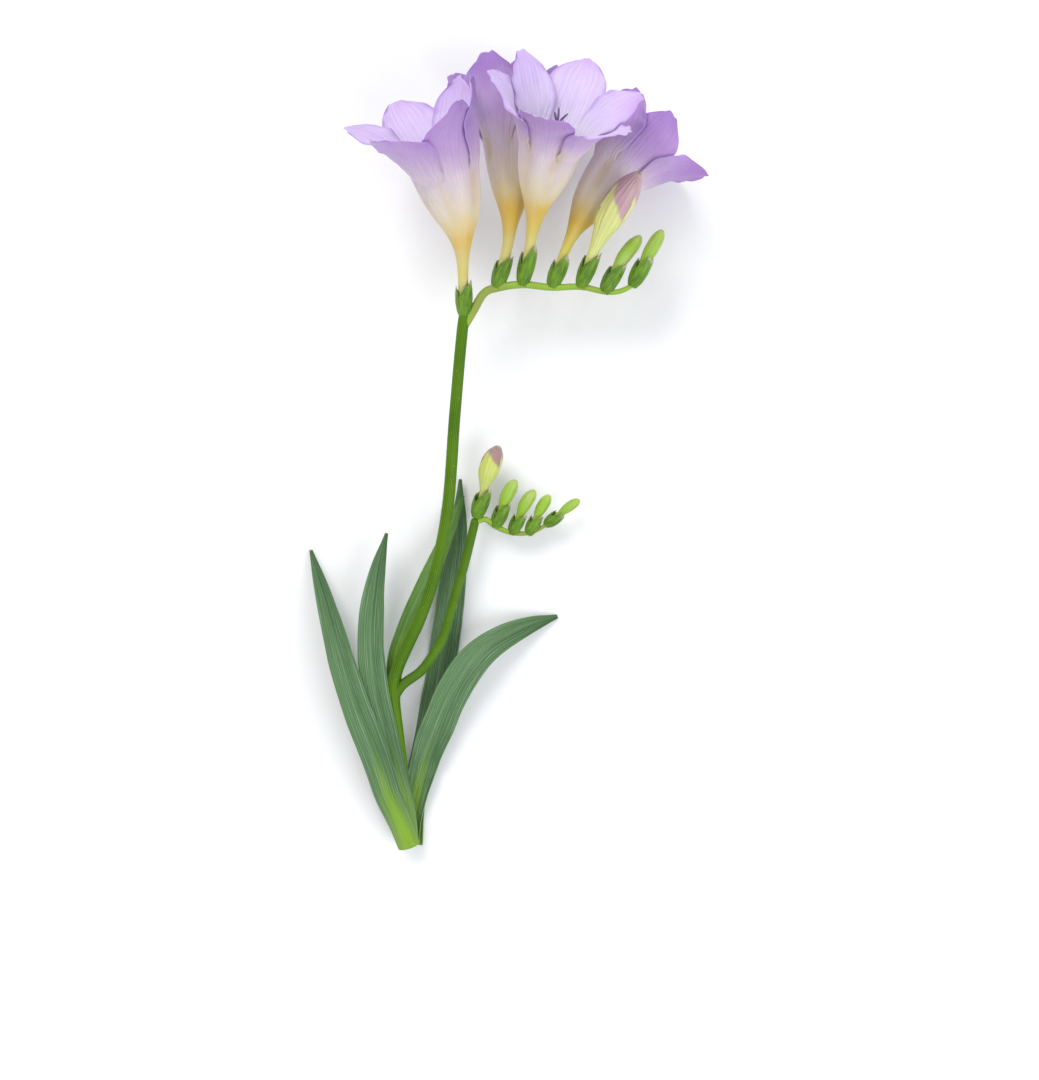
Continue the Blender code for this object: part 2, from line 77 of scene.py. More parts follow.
def direction(lean, lift):
    a, b = radians(lean), radians(lift)
    return Vector((sin(a) * cos(b), cos(a) * cos(b), sin(b)))


def around(above, across, angle):
    # the heading at an angle round an axis, from its two cross directions
    return above * cos(angle) + across * sin(angle)


def curveThrough(points, count):
    ends = [2 * points[0] - points[1], *points, 2 * points[-1] - points[-2]]
    found = []
    for i in range(count + 1):
        x = i / count * (len(points) - 1)
        k = min(int(x), len(points) - 2)
        t = x - k
        p0, p1, p2, p3 = ends[k:k + 4]
        found.append(0.5 * (2 * p1 + (p2 - p0) * t + (2 * p0 - 5 * p1 + 4 * p2 - p3) * t * t
                            + (3 * p1 - p0 - 3 * p2 + p3) * t * t * t))
    return found


class Spine:
    # a centre line that gives its point, tangent, normal and side at a distance
    def __init__(self, points, reference=up):
        self.points = points
        self.reference = reference
        self.lengths = [0.0]
        for a, b in zip(points, points[1:]):
            self.lengths.append(self.lengths[-1] + (b - a).length)

    def at(self, distance):
        last = len(self.points) - 2
        k = 0
        while k < last and distance > self.lengths[k + 1]:
            k += 1
        step = self.points[k + 1] - self.points[k]
        t = (distance - self.lengths[k]) / step.length
        tangent = self.tangent(k).lerp(self.tangent(k + 1), max(0, min(1, t))).normalized()
        normal = (self.reference - tangent * self.reference.dot(tangent)).normalized()
        return self.points[k] + step * t, tangent, normal, tangent.cross(normal)

    def tangent(self, k):
        a = self.points[max(0, k - 1)]
        b = self.points[min(len(self.points) - 1, k + 1)]
        return (b - a).normalized()


def addGrid(work, columns, rows, position, mark=None):
    # a grid whose points go to position(u, v), u from -1 to 1 and v from 0 to 1, each marked with
    # mark(u, v), or with v and the distance from the middle
    layers = work.verts.layers.float_color
    layer = layers.get("surfacePlace") or layers.new("surfacePlace")
    made = bmesh.ops.create_grid(work, x_segments=columns, y_segments=rows, size=1)
    for vertex in made["verts"]:
        u, v = vertex.co.x, (vertex.co.y + 1) / 2
        vertex.co = position(u, v)
        vertex[layer] = mark(u, v) if mark else (v, abs(u), 0, 0)


def sweep(work, spine, profile, columns, ripple=None, band=None):
    # a closed body of (distance, radius) pairs in mm, turned round a spine; it ends at radius 0. Its third
    # mark is band(angle, distance)
    whole = profile[-1][0] - profile[0][0]

    def position(u, v):
        distance, radius = profile[round(v * (len(profile) - 1))]
        point, _, normal, side = spine.at(distance * mm)
        angle = pi * u
        if ripple:
            radius *= ripple(angle, distance)
        return point + around(normal, side, angle) * radius * mm

    def mark(u, v):
        distance = profile[round(v * (len(profile) - 1))][0]
        return (distance - profile[0][0]) / whole, abs(u), band(pi * u, distance) if band else 0, 0

    addGrid(work, columns, len(profile) - 1, position, mark)


def addObject(name, data):
    made = bpy.data.objects.new(name, data)
    bpy.context.scene.collection.objects.link(made)
    return made


def finishMesh(name, work, parts):
    bmesh.ops.remove_doubles(work, verts=work.verts, dist=2e-6)
    bmesh.ops.dissolve_degenerate(work, edges=work.edges, dist=1e-7)
    bmesh.ops.recalc_face_normals(work, faces=work.faces)
    return linkMesh(name, work, parts)


def linkMesh(name, work, parts):
    # makes the smoothed piece and says what it rides on and which slot of colour it takes
    mesh = bpy.data.meshes.new(name)
    work.to_mesh(mesh)
    work.free()
    piece = addObject(name, mesh)
    for part in parts:
        mesh.materials.append(part)
    for face in mesh.polygons:
        face.use_smooth = True
    subdivision = piece.modifiers.new("smoothing", "SUBSURF")
    subdivision.levels = subdivision.render_levels = 1
    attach(piece, "root")
    return piece


def thicken(work, thickness, outward):
    # gives an open surface a thickness; outward(face centre) points to its outer side, and the inner
    # side's points get a 1 in the third channel of surfacePlace
    bmesh.ops.remove_doubles(work, verts=work.verts, dist=2e-6)
    bmesh.ops.recalc_face_normals(work, faces=work.faces)
    agree = sum(1 if face.normal.dot(outward(face.calc_center_median())) > 0 else -1 for face in work.faces)
    if agree < 0:
        bmesh.ops.reverse_faces(work, faces=work.faces)
    work.normal_update()
    work.verts.ensure_lookup_table()
    mesh = bpy.data.meshes.new("openSurface")
    work.to_mesh(mesh)
    normals = [vertex.normal.copy() for vertex in work.verts]
    places = [vertex.co.copy() for vertex in work.verts]
    work.free()
    carrier = addObject("openSurface", mesh)
    solidify = carrier.modifiers.new("thickness", "SOLIDIFY")
    solidify.thickness = thickness * mm
    solidify.offset = 0
    bpy.context.view_layer.update()
    graph = bpy.context.evaluated_depsgraph_get()
    solid = bpy.data.meshes.new_from_object(carrier.evaluated_get(graph))
    bpy.data.objects.remove(carrier)
    count = len(places)
    made = bmesh.new()
    made.from_mesh(solid)
    made.verts.ensure_lookup_table()
    layer = made.verts.layers.float_color["surfacePlace"]
    for vertex in made.verts:
        k = vertex.index % count
        inner = (vertex.co - places[k]).dot(normals[k]) < 0
        old = vertex[layer]
        vertex[layer] = (old[0], old[1], float(inner), old[3])
    return made


# Materials

class Wiring:
    # short calls for adding and joining nodes in one tree
    def __init__(self, tree):
        self.tree = tree

    def add(self, kind, **settings):
        node = self.tree.nodes.new(kind)
        for key, value in settings.items():
            setattr(node, key, value)
        return node

    def feed(self, source, socket):
        if isinstance(source, (int, float, tuple)):
            socket.default_value = source
        else:
            self.tree.links.new(source, socket)

    def math(self, operation, a, b=0.0, c=None):
        node = self.add("ShaderNodeMath", operation=operation)
        self.feed(a, node.inputs[0])
        self.feed(b, node.inputs[1])
        if c is not None:
            self.feed(c, node.inputs[2])
        return node.outputs[0]

    def times(self, product, *factors):
        for factor in factors:
            product = self.math("MULTIPLY", product, factor)
        return product

    def timesPlus(self, a, b, c):
        return self.math("MULTIPLY_ADD", a, b, c)

    def mix(self, factor, a, b):
        node = self.add("ShaderNodeMix", data_type="RGBA")
        self.feed(factor, node.inputs[0])
        self.feed(a, node.inputs[6])
        self.feed(b, node.inputs[7])
        return node.outputs[2]

    def layOver(self, colour, *layers):
        # each layer is a share and the colour that it lays over those before it
        for share, over in layers:
            colour = self.mix(share, colour, over)
        return colour

    def ramp(self, source, stops):
        node = self.add("ShaderNodeValToRGB")
        elements = node.color_ramp.elements
        while len(elements) < len(stops):
            elements.new(0.5)
        for element, (position, colour) in zip(elements, stops):
            element.position = position
            element.color = colour
        self.feed(source, node.inputs[0])
        return node.outputs[0]

    def span(self, source, low, high, outLow=0.0, outHigh=1.0):
        node = self.add("ShaderNodeMapRange", interpolation_type="SMOOTHSTEP")
        self.feed(source, node.inputs[0])
        for k, value in enumerate((low, high, outLow, outHigh), 1):
            self.feed(value, node.inputs[k])
        return node.outputs[0]

    def noise(self, scale, detail=2.0, roughness=0.5, vector=None):
        # over the object's own coordinates, unless a vector is given
        if vector is None:
            vector = self.add("ShaderNodeTexCoord").outputs["Object"]
        node = self.add("ShaderNodeTexNoise")
        self.feed(vector, node.inputs["Vector"])
        for key, value in (("Scale", scale), ("Detail", detail), ("Roughness", roughness)):
            self.feed(value, node.inputs[key])
        return node.outputs["Fac"]

    def surfacePlace(self):
        # the four marks of a point, as the mesh carries them: along and across, then the inner side
        # or a bud's wrap, then a petal's number or a leaf's half
        attribute = self.add("ShaderNodeAttribute", attribute_name="surfacePlace")
        parts = self.add("ShaderNodeSeparateColor")
        self.feed(attribute.outputs["Color"], parts.inputs[0])
        return parts.outputs[0], parts.outputs[1], parts.outputs[2], attribute.outputs["Alpha"]


def startGroup(name, inputs, outputs):
    # a node group with these input values, a tuple for a colour; gives its wiring and both ends
    group = bpy.data.node_groups.new(name, "ShaderNodeTree")
    for key, value in inputs.items():
        kind = "NodeSocketColor" if isinstance(value, tuple) else "NodeSocketFloat"
        group.interface.new_socket(name=key, in_out="INPUT", socket_type=kind).default_value = value
    for key in outputs:
        kind = "NodeSocketColor" if key == "Color" else "NodeSocketFloat"
        group.interface.new_socket(name=key, in_out="OUTPUT", socket_type=kind)
    wire = Wiring(group)
    return group, wire, wire.add("NodeGroupInput").outputs, wire.add("NodeGroupOutput").inputs


def makeVeinGroup():
    # thin lines that run lengthwise at even shares of the width, wandering a little
    group, wire, given, result = startGroup("lengthwiseVeins", {
        "Across": 0.5, "Count": 8.0, "Wander": 0.03, "Wander Scale": 140.0, "Thinness": 6.0},
        ("Lines", "Height"))
    drift = wire.noise(given["Wander Scale"])
    shift = wire.times(wire.math("SUBTRACT", drift, 0.5), given["Wander"])
    share = wire.times(wire.math("ADD", given["Across"], shift), given["Count"])
    crest = wire.timesPlus(wire.math("COSINE", wire.times(share, 2 * pi)), 0.5, 0.5)
    wire.feed(wire.math("POWER", crest, given["Thinness"]), result["Lines"])
    wire.feed(crest, result["Height"])
    return group


def makeMottleGroup():
    # soft lighter and darker patches over a colour, with fine grain
    group, wire, given, result = startGroup("plantMottle", {
        "Base": (0.5, 0.5, 0.5, 1), "Patch": (0.4, 0.4, 0.4, 1), "Patch Scale": 60.0, "Patch Share": 0.5,
        "Grain Scale": 2500.0}, ("Color", "Grain"))
    patches = wire.noise(given["Patch Scale"], 4)
    share = wire.times(wire.span(patches, 0.35, 0.68), given["Patch Share"])
    wire.feed(wire.mix(share, given["Base"], given["Patch"]), result["Color"])
    wire.feed(wire.noise(given["Grain Scale"]), result["Grain"])
    return group


def makeStreakGroup():
    # uneven streaks that run lengthwise and fade in and out, as plant fibres do
    group, wire, given, result = startGroup("fibreStreaks", {
        "Along": 0.5, "Across": 0.5, "Lengthwise": 2.0, "Crosswise": 12.0, "Low": 0.40, "High": 0.64},
        ("Streak", "Height"))
    point = wire.add("ShaderNodeCombineXYZ")
    wire.feed(wire.times(given["Along"], given["Lengthwise"]), point.inputs[0])
    wire.feed(wire.times(given["Across"], given["Crosswise"]), point.inputs[1])
    fibres = wire.noise(1.0, 4, 0.6, point.outputs[0])
    wire.feed(wire.span(fibres, given["Low"], given["High"]), result["Streak"])
    wire.feed(fibres, result["Height"])
    return group


veinGroup = makeVeinGroup()
mottleGroup = makeMottleGroup()
streakGroup = makeStreakGroup()


def startMaterial(name, roughness, subsurface, radius=(0.002, 0.0015, 0.001), specular=0.5, coat=0.0,
                  coatRoughness=0.03, sheen=0.0):
    made = bpy.data.materials.new(name)
    made.use_nodes = True
    wire = Wiring(made.node_tree)
    shader = made.node_tree.nodes["Principled BSDF"]
    for key, value in (("Roughness", roughness), ("Subsurface Weight", subsurface),
                       ("Subsurface Radius", radius), ("Subsurface Scale", 1.0),
                       ("Specular IOR Level", specular), ("Coat Weight", coat),
                       ("Coat Roughness", coatRoughness), ("Sheen Weight", sheen)):
        shader.inputs[key].default_value = value
    return made, wire, shader


def useGroup(wire, group, values, outputs):
    node = wire.add("ShaderNodeGroup", node_tree=group)
    for key, value in values.items():
        wire.feed(value, node.inputs[key])
    return [node.outputs[key] for key in outputs]


def veins(wire, across, count, wander, wanderScale, thinness):
    return useGroup(wire, veinGroup, {"Across": across, "Count": count, "Wander": wander,
                                      "Wander Scale": wanderScale, "Thinness": thinness}, ("Lines", "Height"))


def fibreStreaks(wire, along, across, lengthwise, crosswise, low, high):
    return useGroup(wire, streakGroup, {"Along": along, "Across": across, "Lengthwise": lengthwise,
                                        "Crosswise": crosswise, "Low": low, "High": high},
                    ("Streak", "Height"))


def mottle(wire, base, patch, scale, share, grainScale=2500.0):
    return useGroup(wire, mottleGroup, {"Base": base, "Patch": patch, "Patch Scale": scale,
                                        "Patch Share": share, "Grain Scale": grainScale}, ("Color", "Grain"))


def finishMaterial(wire, shader, colour, height, distance, strength):
    # joins the colour, and the height as bump, to the shader
    wire.feed(colour, shader.inputs["Base Color"])
    node = wire.add("ShaderNodeBump")
    wire.feed(distance, node.inputs["Distance"])
    wire.feed(strength, node.inputs["Strength"])
    wire.feed(height, node.inputs["Height"])
    wire.feed(node.outputs["Normal"], shader.inputs["Normal"])


def makePetalMaterial(name, pale=0.0):
    made, wire, shader = startMaterial(name, 0.48, 0.3, (0.0022, 0.0014, 0.0022), sheen=0.12)
    along, across, inside, tone = wire.surfacePlace()
    lines, height = veins(wire, across, 5.5, 0.09, 70.0, 6.0)
    turned = wire.math("ADD", across, wire.times(tone, 7.0))
    fine, fineHeight = fibreStreaks(wire, along, turned, 5.0, 26.0, 0.44, 0.66)
    # the bands of colour run into each other in streaks
    drift = wire.timesPlus(wire.noise(45, 4), 0.14, along)
    drift = wire.math("SUBTRACT", wire.timesPlus(fineHeight, 0.22, drift), 0.18)
    outer = wire.ramp(drift, (
        (0.0, (0.46, 0.48, 0.06, 1)), (0.16, (0.64, 0.52, 0.08, 1)), (0.29, (0.70, 0.43, 0.05, 1)),
        (0.36, (0.74, 0.57, 0.24, 1)), (0.44, (0.73, 0.62, 0.45, 1)), (0.60, (0.67, 0.56, 0.60, 1)),
        (0.74, (0.43, 0.29, 0.53, 1)), (1.0, (0.26, 0.125, 0.47, 1))))
    inner = wire.ramp(drift, (
        (0.0, (0.50, 0.50, 0.14, 1)), (0.34, (0.74, 0.62, 0.28, 1)), (0.50, (0.84, 0.80, 0.82, 1)),
        (0.62, (0.84, 0.80, 0.92, 1)), (0.78, (0.70, 0.58, 0.88, 1)), (1.0, (0.58, 0.43, 0.83, 1))))
    # painted light: on the bloom that lies in shade, pale lays a lighter cream over the outer funnel, between
    # the golden throat and the lilac tips, to lift that shade
    paintedLightShare = wire.times(wire.span(along, 0.33, 0.46), wire.span(along, 0.5, 0.78, pale, 0.0))
    outer = wire.mix(paintedLightShare, outer, (0.97, 0.86, 0.80, 1))
    # faint veins and fibres, clearer towards the tips, then a deeper rim, magenta blushes at the tips
    # and ochre folds beside the notches
    lineShare = wire.times(lines, wire.span(along, 0.45, 0.75, 0.02, 0.14))
    fineShare = wire.times(fine, wire.span(along, 0.30, 0.75, 0.10, 0.28))
    deeper = wire.mix(wire.span(along, 0.45, 0.62), (0.62, 0.50, 0.42, 1), (0.40, 0.24, 0.60, 1))
    rim = wire.times(wire.span(across, 0.78, 1.0), wire.span(along, 0.66, 0.80, 0.0, 0.55))
    blush = wire.times(wire.span(along, 0.82, 1.0), wire.span(wire.noise(38, 2), 0.45, 0.68, 0.0, 0.5))
    fleck = wire.times(wire.span(across, 0.25, 0.95), wire.span(along, 0.36, 0.57),
                       wire.span(along, 0.72, 0.60), wire.math("SUBTRACT", 1.0, inside),
                       wire.span(wire.noise(55, 2), 0.40, 0.62, 0.05, 0.9))
    colour = wire.layOver(
        wire.mix(inside, outer, inner), (lineShare, (0.36, 0.19, 0.54, 1)), (fineShare, deeper),
        (rim, (0.36, 0.18, 0.62, 1)), (blush, (0.52, 0.20, 0.58, 1)), (fleck, (0.56, 0.39, 0.13, 1)))
    colour, grain = mottle(wire, colour, (0.80, 0.74, 0.86, 1), 55.0, 0.13)
    relief = wire.timesPlus(height, 0.25, fineHeight)
    relief = wire.times(relief, wire.span(along, 0.25, 0.60, 0.4, 1.0))
    finishMaterial(wire, shader, colour, wire.timesPlus(grain, 0.08, relief), 0.0008, 0.5)
    return made


def makeBudMaterial(name, green, tipColour, tipFrom, tipTo, zigzag):
    made, wire, shader = startMaterial(name, 0.36, 0.2, (0.002, 0.002, 0.0008), specular=0.35, coat=0.25,
                                       coatRoughness=0.25)
    along, across, wrapped, _ = wire.surfacePlace()
    lines, height = veins(wire, across, 9.0, 0.05, 120.0, 4.0)
    creases, creaseHeight = fibreStreaks(wire, along, across, 3.0, 9.0, 0.52, 0.70)
    # the cap's border steps at each tepal's edge
    border = wire.timesPlus(wire.noise(160, 3), 0.12, along)
    border = wire.timesPlus(wire.math("SUBTRACT", wrapped, 0.5), zigzag, border)
    seam = wire.times(wire.span(wrapped, 0.90, 0.99, 0.0, 0.45), wire.span(along, 0.25, 0.45))
    colour = wire.layOver(
        green, (wire.span(border, tipFrom + 0.06, tipTo + 0.06), tipColour),
        (wire.span(along, 0.0, 0.22, 0.7, 0.0), (0.52, 0.46, 0.06, 1)),
        (wire.times(lines, 0.16), (0.22, 0.30, 0.06, 1)),
        (wire.times(creases, 0.3), (0.36, 0.36, 0.08, 1)), (seam, (0.16, 0.14, 0.06, 1)))
    colour, grain = mottle(wire, colour, (0.60, 0.60, 0.34, 1), 110.0, 0.2)
    colour = wire.mix(wire.span(along, 0.955, 1.0, 0.0, 0.6), colour, (0.56, 0.47, 0.30, 1))
    relief = wire.timesPlus(creaseHeight, 2.0, height)
    finishMaterial(wire, shader, colour, wire.timesPlus(grain, 0.25, relief), 0.0003, 0.7)
    return made


def makeStemMaterial(name, base, patch, stripe, speck):
    made, wire, shader = startMaterial(name, 0.34, 0.06, (0.002, 0.003, 0.0004), specular=0.12, coat=0.06,
                                       coatRoughness=0.3)
    _, across, _, _ = wire.surfacePlace()
    lines, height = veins(wire, across, 10.0, 0.02, 60.0, 3.0)
    specks = wire.span(wire.noise(1300, 2), 0.69, 0.75, 0.0, 0.5)
    colour, grain = mottle(wire, base, patch, 40.0, 0.6)
    colour = wire.layOver(colour, (wire.times(lines, 0.4), stripe), (specks, speck))
    finishMaterial(wire, shader, colour, wire.timesPlus(grain, 0.3, height), 0.00015, 0.5)
    return made


def makeBractMaterial():
    made, wire, shader = startMaterial("greenBract", 0.3, 0.08, (0.002, 0.003, 0.0004), specular=0.16,
                                       coat=0.12, coatRoughness=0.2)
    along, across, _, _ = wire.surfacePlace()
    _, height = veins(wire, across, 6.0, 0.04, 200.0, 3.0)
    fibres, fibreHeight = fibreStreaks(wire, along, across, 2.0, 8.0, 0.42, 0.66)
    # a paler shoulder near the mouth, and a dry edge at the very tip
    dry = wire.timesPlus(wire.noise(420, 3), 0.22, along)
    colour, grain = mottle(wire, (0.060, 0.150, 0.006, 1), (0.14, 0.29, 0.012, 1), 150.0, 0.7)
    colour = wire.layOver(
        colour, (wire.times(fibres, 0.5), (0.28, 0.47, 0.06, 1)),
        (wire.span(along, 0.62, 0.92, 0.0, 0.4), (0.30, 0.48, 0.10, 1)),
        (wire.span(dry, 0.99, 1.07), (0.55, 0.50, 0.34, 1)),
        (wire.span(dry, 1.09, 1.15), (0.20, 0.11, 0.06, 1)))
    relief = wire.timesPlus(fibreHeight, 2.0, height)
    finishMaterial(wire, shader, colour, wire.timesPlus(grain, 0.3, relief), 0.0003, 0.7)
    return made


def makeLeafMaterial(name, dark, light, bloomy, foot, footEnd):
    # a bloomy blue-green blade with fine parallel veins, one half painted paler than the other: painted light
    # on the side of its fold that faces the light
    made, wire, shader = startMaterial(name, 0.4, 0.05, (0.001, 0.002, 0.0008), specular=0.35)
    along, across, _, half = wire.surfacePlace()
    lines, height = veins(wire, across, 8.0, 0.025, 30.0, 4.0)
    fine, fineHeight = fibreStreaks(wire, along, across, 5.0, 15.0, 0.42, 0.62)
    broad, _ = fibreStreaks(wire, along, across, 2.2, 4.5, 0.40, 0.66)
    pale, _ = fibreStreaks(wire, along, wire.math("ADD", half, 3.7), 3.0, 26.0, 0.54, 0.68)
    # the lime foot runs up the middle as a streak that frays out
    reach = wire.timesPlus(across, footEnd * 0.55, along)
    reach = wire.timesPlus(fineHeight, footEnd * 0.7, reach)
    colour, grain = mottle(wire, dark, light, 22.0, 0.3)
    colour = wire.layOver(
        # painted light: the half with the lower mark is laid towards the lighter colour, as the lit side of the
        # fold
        colour, (wire.span(half, 0.44, 0.56, 0.42, 0.0), light), (wire.times(broad, 0.5), light),
        (wire.times(fine, 0.45), light), (wire.times(lines, 0.4), (0.022, 0.07, 0.02, 1)),
        (wire.times(pale, 0.7), bloomy), (wire.span(across, 0.16, 0.02, 0.0, 0.25), (0.12, 0.24, 0.09, 1)),
        (wire.span(reach, footEnd * 0.5, footEnd * 1.35, 0.9, 0.0), foot),
        (wire.span(along, 0.985, 1.0, 0.0, 0.6), (0.16, 0.16, 0.06, 1)),
        (wire.span(across, 0.955, 1.0, 0.0, 0.35), (0.20, 0.32, 0.13, 1)))
    height = wire.timesPlus(fineHeight, 1.2, wire.times(height, 0.5))
    finishMaterial(wire, shader, colour, wire.timesPlus(grain, 0.12, height), 0.0006, 0.7)
    return made


def makePlainMaterial(name, base, patch, roughness, scale=300.0):
    made, wire, shader = startMaterial(name, roughness, 0.1)
    colour, grain = mottle(wire, base, patch, scale, 0.7, 4000.0)
    finishMaterial(wire, shader, colour, grain, 0.0001, 0.7)
    return made


petalMaterial = makePetalMaterial("lilacPetal")
# a second copy with painted light over the outer funnel, for the bloom that lies in shade
shadeLiftedPetalMaterial = makePetalMaterial("shadeLiftedLilacPetal", 0.4)
largeBudMaterial = makeBudMaterial("openingBud", (0.70, 0.72, 0.25, 1), (0.52, 0.30, 0.37, 1),
                                   0.66, 0.72, 0.26)
smallBudMaterial = makeBudMaterial("greenBud", (0.29, 0.50, 0.02, 1), (0.45, 0.61, 0.09, 1), 0.70, 1.02, 0.1)
sideBudMaterial = makeBudMaterial("sideBud", (0.56, 0.62, 0.13, 1), (0.36, 0.19, 0.20, 1), 0.72, 0.80, 0.2)
stemMaterial = makeStemMaterial("stemSkin", (0.045, 0.118, 0.001, 1), (0.10, 0.22, 0.002, 1),
                                (0.16, 0.32, 0.006, 1), (0.36, 0.54, 0.12, 1))
rachisMaterial = makeStemMaterial("rachisSkin", (0.24, 0.42, 0.03, 1), (0.22, 0.20, 0.05, 1),
                                  (0.46, 0.58, 0.17, 1), (0.48, 0.54, 0.22, 1))
bractMaterial = makeBractMaterial()
leafMaterial = makeLeafMaterial("leafBlade", (0.035, 0.105, 0.028, 1), (0.15, 0.28, 0.12, 1),
                                (0.34, 0.47, 0.36, 1), (0.23, 0.42, 0.012, 1), 0.42)
nodeLeafMaterial = makeLeafMaterial("nodeLeafBlade", (0.06, 0.18, 0.015, 1), (0.18, 0.36, 0.07, 1),
                                    (0.32, 0.50, 0.22, 1), (0.22, 0.42, 0.02, 1), 0.4)
antherMaterial = makePlainMaterial("anther", (0.10, 0.06, 0.17, 1), (0.25, 0.20, 0.34, 1), 0.8, 900.0)
filamentMaterial = makePlainMaterial("filament", (0.78, 0.70, 0.86, 1), (0.88, 0.84, 0.90, 1), 0.5)
pithMaterial = makePlainMaterial("cutPith", (0.42, 0.55, 0.20, 1), (0.62, 0.70, 0.38, 1), 0.6, 700.0)
print("materials ready")


# Florets: their feet in mm from the cut end, and their headings in degrees, first to the right of the
# stem and then above the floor

mainFlorets = (
    {"foot": (23.0, 215.2, 33.8), "bract": (-1, 10), "rise": (-1, 10), "face": (-16, 25), "size": 1.1,
     "mouth": 1.05, "claim": 1.0, "spin": 20, "reach": 31},
    {"foot": (36.0, 226.6, 33.0), "bract": (16, -4), "rise": (6, -6), "face": (-1, -7), "size": 1.12,
     "mouth": 0.84, "claim": 0.75, "spin": 30, "reach": 30},
    {"foot": (46.2, 227.6, 34.4), "bract": (12, 8), "rise": (9, 13), "face": (16, 35), "size": 1.08,
     "mouth": 1.02, "claim": 1.75, "spin": -9, "reach": 32},
    {"foot": (58.0, 226.8, 33.0), "bract": (20, -4), "rise": (24, -6), "face": (38, -9), "size": 1.0,
     "mouth": 1.0, "claim": 0.95, "spin": 12, "reach": 31},
    {"foot": (69.4, 226.9, 33.6), "bract": (21, 9), "rise": (25, 16), "face": (36, 23), "bud": (46, 6.1)},
    {"foot": (79.0, 225.0, 32.0), "bract": (28, -3), "rise": (32, -3), "face": (40, -4), "bud": (22.5, 2.9)},
    {"foot": (90.2, 227.6, 31.4), "bract": (27, 3), "rise": (30, 3), "face": (30, 4), "bud": (20.5, 2.8)},
)
sideFlorets = (
    {"foot": (27.6, 135.6, 12.6), "bract": (16, 3), "rise": (12, 2), "face": (24, 3), "bud": (26, 4.3)},
    {"foot": (35.4, 131.6, 11.8), "bract": (20, -3), "rise": (20, -3), "face": (32, -3), "bud": (16.5, 2.8)},
    {"foot": (42.2, 129.0, 11.4), "bract": (24, 4), "rise": (24, 4), "face": (38, 4), "bud": (15.5, 2.6)},
    {"foot": (49.0, 128.8, 10.6), "bract": (26, -3), "rise": (28, -3), "face": (34, -3), "bud": (13.5, 2.4)},
    {"foot": (56.4, 132.4, 10.0), "bract": (52, 3), "rise": (54, 3), "face": (56, 3), "bud": (12.5, 2.1)},
)

petalForm = {
    "tubeLength": 47.0, "tepalLength": 32.0, "thickness": 0.34, "layerShift": 0.8,
    "throatSlope": radians(14), "widestShare": radians(53),
    "openingAround": [radians(a) for a in (-32, -20, -8, 8, 20, 32)], "leastReach": 13.0,
    "clearance": 1.9, "mouthAt": 66.0,
    "wave": 1.2, "crinkle": 0.5, "fold": 0.045, "lift": 0.3, "floorGap": 0.8,
    "edgeWobble": 0.025, "roundTip": 0.08, "raggedTip": 0.014, "tipFlutter": 0.3, "tilt": 1.2, "overlap": 0.2,
    "tubeRadii": ((0, 1.5), (14, 1.85), (20, 2.8), (26, 5.0), (32, 7.6), (39, 9.6), (47, 11.0)),
    "halfWidths": ((0, 5.6), (0.06, 5.5), (0.16, 6.9), (0.26, 8.6), (0.44, 10.8), (0.62, 11.8), (0.76, 11.1),
                   (0.87, 9.4), (0.95, 7.0), (1, 4.2)),
    "columns": 14, "tubeRows": 32, "tepalRows": 28,
}


def floretSpine(floret, size):
    line, rise, face = (direction(*floret[key]) for key in ("bract", "rise", "face"))
    point = place(*floret["foot"]) + line * (ovaryLength + seatGap) * mm
    step = 1.5 * mm
    points = [point]
    for i in range(64):
        gone = i * step / size / mm
        heading = line.lerp(rise, smooth((gone - 5) / 9))
        heading = heading.lerp(face, smooth((gone - 12) / 26))
        point = point + heading.normalized() * step
        points.append(point)
    return Spine(points)


def mouthCentre(floret):
    return floretSpine(floret, floret["size"]).at(petalForm["mouthAt"] * floret["size"] * mm)[0]


def reachTowards(heading, centre, axis, floret, others):
    # how far a tepal may spread this way before it meets the next bloom or the floor, in metres
    reach = floret["reach"] * floret["size"] * mm
    for other in others:
        away = mouthCentre(other) - centre
        away -= axis * away.dot(axis)
        share = floret["claim"] / (floret["claim"] + other["claim"])
        along = heading.dot(away.normalized())
        if along > 0.1:
            reach = min(reach, (away.length * share - petalForm["clearance"] * mm) / along)
    if heading.z < -0.1:
        reach = min(reach, (centre.z - petalForm["floorGap"] * mm) / -heading.z)
    return max(reach, petalForm["leastReach"] * floret["mouth"] * mm)


def runOut(length, opening, v):
    turn = (opening - petalForm["throatSlope"]) * v / 2
    reached = length * v * (sin(turn) / turn if abs(turn) > 1e-6 else 1)
    slope = petalForm["throatSlope"] + turn
    return reached * sin(slope), reached * cos(slope)


def openingFor(reach, throat, length):
    low, high = radians(2), radians(96)
    for _ in range(24):
        middle = (low + high) / 2
        if throat + runOut(length, middle, 1)[0] < reach:
            low = middle
        else:
            high = middle
    return (low + high) / 2


